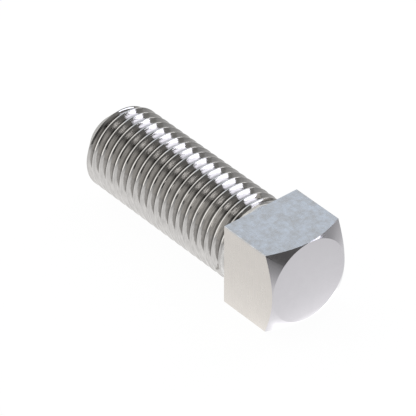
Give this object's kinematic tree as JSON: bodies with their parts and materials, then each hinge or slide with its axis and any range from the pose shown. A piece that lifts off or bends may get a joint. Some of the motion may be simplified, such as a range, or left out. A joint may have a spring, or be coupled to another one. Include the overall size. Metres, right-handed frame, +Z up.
{
  "type": "square head bolt",
  "caption": "Fully threaded steel bolt with a low square head, a chamfered crown and a cone tip, turned with a wrench to clamp or lock another part.",
  "frame": {"origin": "centre of the bearing face under the head, on the bolt's axis", "axes": "+X along the axis from the head to the tip, +Z up and square to the flat that the bolt lies on"},
  "size_m": [0.098, 0.0298, 0.0298],
  "materials": {
    "steel": "satin, as turned and milled, plain"
  },
  "bodies": {
    "root": {"square_head_bolt": "steel"}
  },
  "joints": []
}
